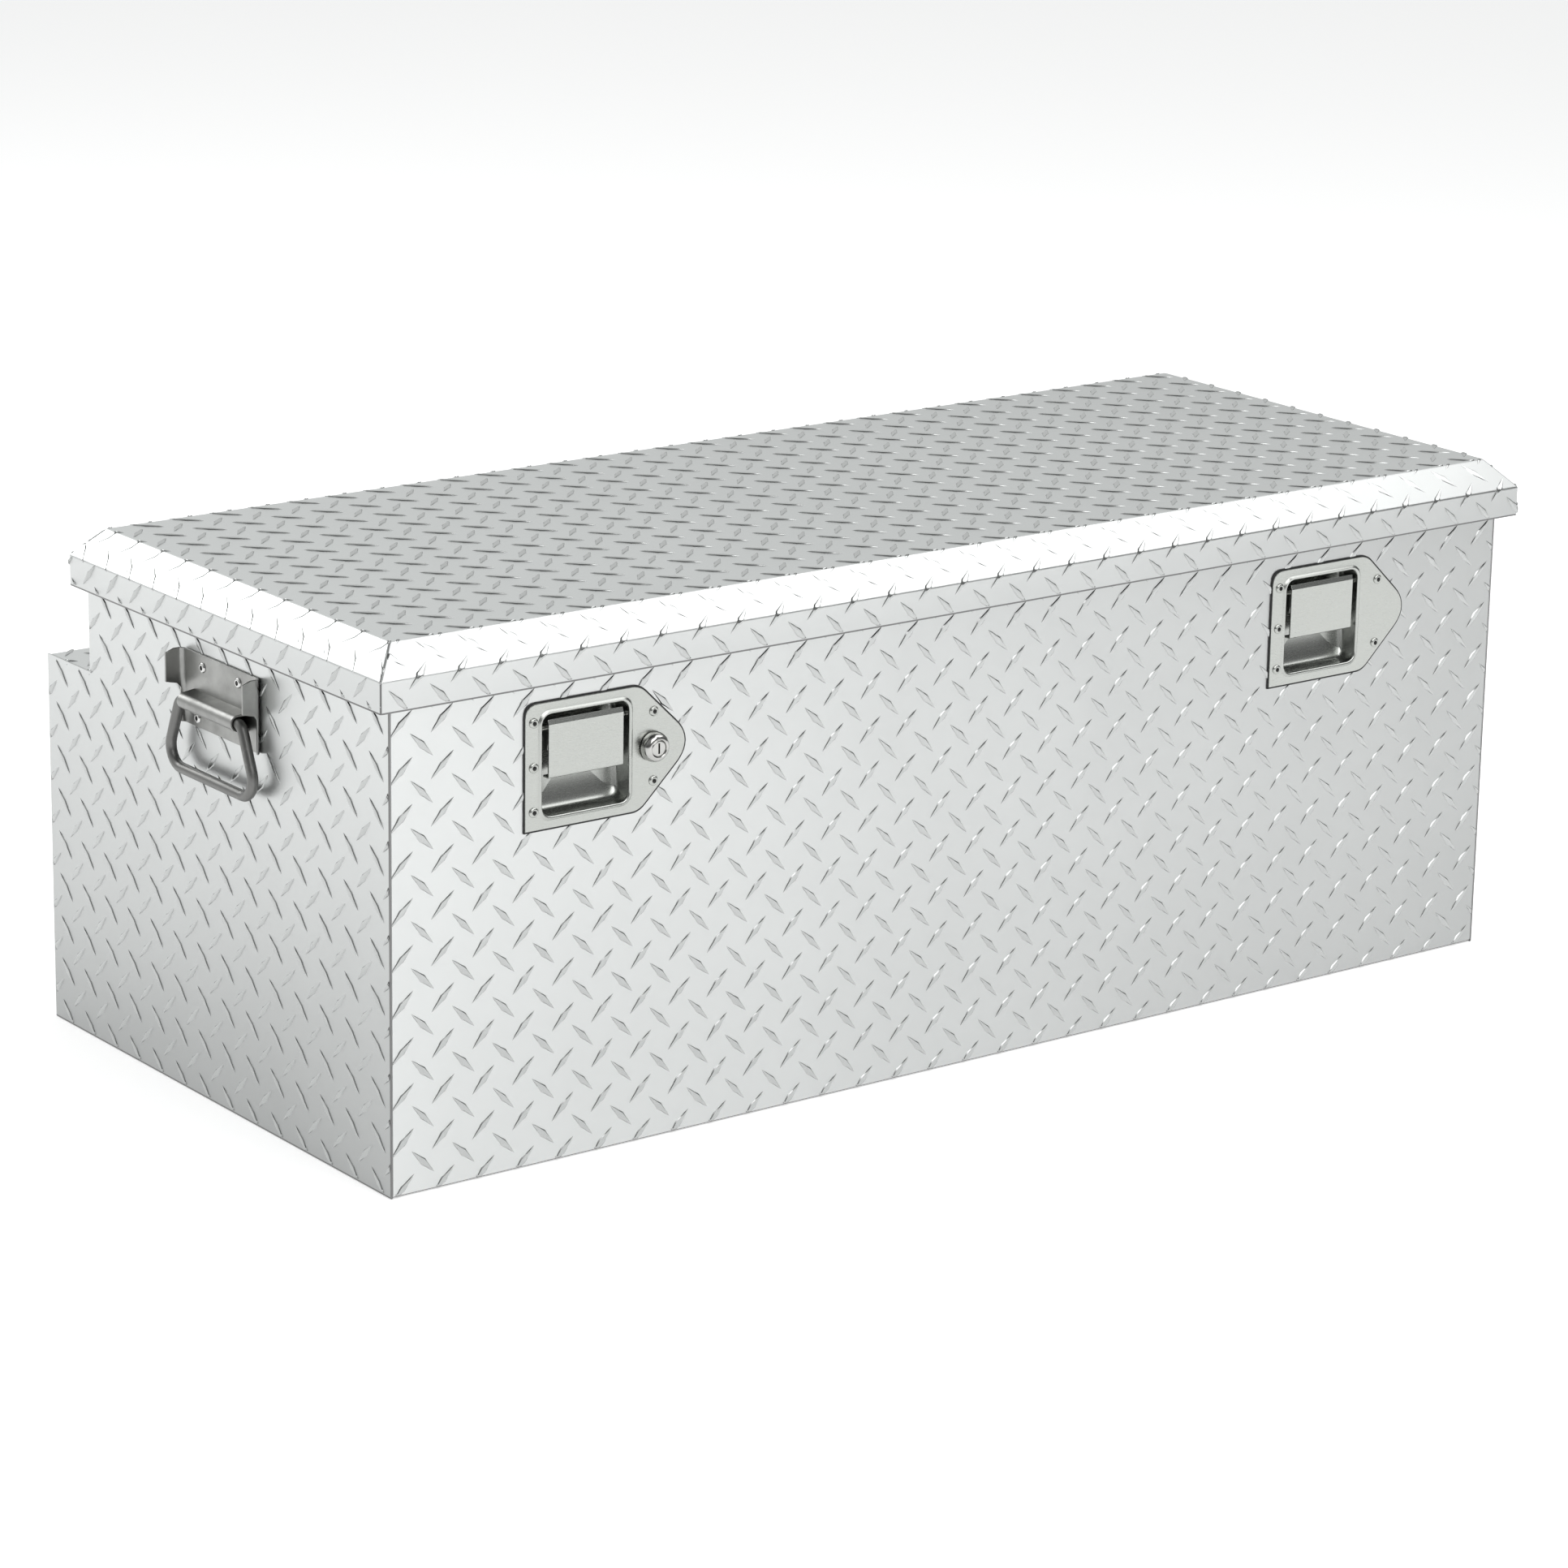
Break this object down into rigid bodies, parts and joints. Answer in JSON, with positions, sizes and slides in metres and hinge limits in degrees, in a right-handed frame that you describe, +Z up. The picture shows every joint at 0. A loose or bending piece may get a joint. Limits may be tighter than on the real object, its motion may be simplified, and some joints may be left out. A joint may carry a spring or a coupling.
{
  "type": "truck tool box",
  "caption": "Aluminium tread-plate truck tool box: notched chest with hinged bevelled lid on gas struts, flush paddle latches and drop handles on its ends.",
  "frame": {"origin": "centre of the whole object's bounding box in plan, at the underside of the chest's floor", "axes": "+X along the box to the right as seen from the front, the front with the latches faces -Y, +Z up"},
  "size_m": [1.2574, 0.572, 0.47],
  "materials": {
    "tread_plate": "bright tread plate with raised diagonal lugs, mill finish",
    "plain_aluminium": "plain mill-finish sheet",
    "stainless": "satin stainless sheet",
    "chrome": "polished nickel-plated",
    "zinc": "dull zinc-plated steel",
    "handle_steel": "dark zinc-plated steel with a soft shine",
    "black_paint": "satin black paint",
    "rubber": "black rubber"
  },
  "bodies": {
    "chest": {"body_wrap": "tread_plate", "end_panel_left": "tread_plate", "end_panel_right": "tread_plate", "rim_seal": "rubber", "hinge_leaf_body": "stainless", "hinge_pin": "chrome", "strut_bracket_body_left": "zinc", "strut_bracket_body_right": "zinc", "lock_barrel": "chrome", "lock_nut": "zinc", "handle_bracket_left": "handle_steel", "handle_bracket_right": "handle_steel", "latch_plate_left": "stainless", "latch_gasket_left": "rubber", "latch_pin_left": "chrome", "latch_guide_left": "zinc", "latch_spring_left": "zinc", "latch_left_rivet_1": "stainless", "latch_left_rivet_2": "stainless", "latch_left_rivet_3": "stainless", "latch_left_rivet_4": "stainless", "latch_left_rivet_5": "stainless", "handle_left_rivet_1": "handle_steel", "handle_left_rivet_2": "handle_steel", "handle_left_rivet_3": "handle_steel", "handle_left_rivet_4": "handle_steel", "latch_plate_right": "stainless", "latch_gasket_right": "rubber", "latch_pin_right": "chrome", "latch_guide_right": "zinc", "latch_spring_right": "zinc", "latch_right_rivet_1": "stainless", "latch_right_rivet_2": "stainless", "latch_right_rivet_3": "stainless", "latch_right_rivet_4": "stainless", "latch_right_rivet_5": "stainless", "handle_right_rivet_1": "handle_steel", "handle_right_rivet_2": "handle_steel", "handle_right_rivet_3": "handle_steel", "handle_right_rivet_4": "handle_steel"},
    "lid": {"lid_skin": "tread_plate", "lid_rib_left": "plain_aluminium", "lid_rib_right": "plain_aluminium", "hinge_leaf_lid": "stainless", "striker_left": "zinc", "striker_right": "zinc", "strut_bracket_lid_left": "zinc", "strut_bracket_lid_right": "zinc"},
    "lock_plug": {"lock_plug": "chrome", "lock_cam": "zinc"},
    "latch_paddle_left": {"latch_paddle_left": "stainless"},
    "latch_bolt_left": {"latch_bolt_left": "zinc"},
    "handle_bail_left": {"handle_bail_left": "handle_steel"},
    "strut_cylinder_left": {"strut_cylinder_left": "black_paint"},
    "strut_rod_left": {"strut_rod_left": "chrome"},
    "latch_paddle_right": {"latch_paddle_right": "stainless"},
    "latch_bolt_right": {"latch_bolt_right": "zinc"},
    "handle_bail_right": {"handle_bail_right": "handle_steel"},
    "strut_cylinder_right": {"strut_cylinder_right": "black_paint"},
    "strut_rod_right": {"strut_rod_right": "chrome"}
  },
  "joints": [
    {"name": "lid_hinge", "type": "hinge", "parent": "chest", "child": "lid", "pos_m": [0, 0.2153, 0.411], "axis": [-1, 0, 0], "range_deg": [0, 70]},
    {"name": "strut_tilt_left", "type": "hinge", "parent": "chest", "child": "strut_cylinder_left", "pos_m": [-0.575, 0.1203, 0.3], "axis": [-1, 0, 0], "range_deg": [0, 26.91]},
    {"name": "strut_extend_left", "type": "slide", "parent": "strut_cylinder_left", "child": "strut_rod_left", "axis": [0, -0.0688, 0.9976], "range_m": [0, 0.0949]},
    {"name": "paddle_pull_left", "type": "hinge", "parent": "chest", "child": "latch_paddle_left", "pos_m": [-0.41925, -0.268, 0.377], "axis": [-1, 0, 0], "range_deg": [0, 38], "stiffness_Nm_per_rad": 0.6, "springref_deg": -14.32},
    {"name": "bolt_draw_left", "type": "slide", "parent": "chest", "child": "latch_bolt_left", "axis": [0, -1, 0], "range_m": [0, 0.0096], "deforming": ["latch_spring_left"]},
    {"name": "bail_lift_left", "type": "hinge", "parent": "chest", "child": "handle_bail_left", "pos_m": [-0.6215, -0.015, 0.357], "axis": [0, 1, 0], "range_deg": [0, 90]},
    {"name": "strut_tilt_right", "type": "hinge", "parent": "chest", "child": "strut_cylinder_right", "pos_m": [0.575, 0.1203, 0.3], "axis": [-1, 0, 0], "range_deg": [0, 26.91]},
    {"name": "strut_extend_right", "type": "slide", "parent": "strut_cylinder_right", "child": "strut_rod_right", "axis": [0, -0.0688, 0.9976], "range_m": [0, 0.0949]},
    {"name": "paddle_pull_right", "type": "hinge", "parent": "chest", "child": "latch_paddle_right", "pos_m": [0.39375, -0.268, 0.377], "axis": [-1, 0, 0], "range_deg": [0, 38], "stiffness_Nm_per_rad": 0.6, "springref_deg": -14.32},
    {"name": "bolt_draw_right", "type": "slide", "parent": "chest", "child": "latch_bolt_right", "axis": [0, -1, 0], "range_m": [0, 0.0096], "deforming": ["latch_spring_right"]},
    {"name": "bail_lift_right", "type": "hinge", "parent": "chest", "child": "handle_bail_right", "pos_m": [0.6215, -0.015, 0.357], "axis": [0, -1, 0], "range_deg": [0, 90]},
    {"name": "lock_turn", "type": "hinge", "parent": "chest", "child": "lock_plug", "pos_m": [-0.3525, -0.273, 0.347], "axis": [0, 1, 0], "range_deg": [0, 90]}
  ],
  "couplings": [
    {"joint": "strut_tilt_left", "follows": "lid_hinge", "ratio": 0.37581},
    {"joint": "strut_extend_left", "follows": "lid_hinge", "m_per_rad": 0.076896},
    {"joint": "bolt_draw_left", "follows": "paddle_pull_left", "m_per_rad": 0.0139},
    {"joint": "strut_tilt_right", "follows": "lid_hinge", "ratio": 0.37581},
    {"joint": "strut_extend_right", "follows": "lid_hinge", "m_per_rad": 0.076896},
    {"joint": "bolt_draw_right", "follows": "paddle_pull_right", "m_per_rad": 0.0139}
  ]
}
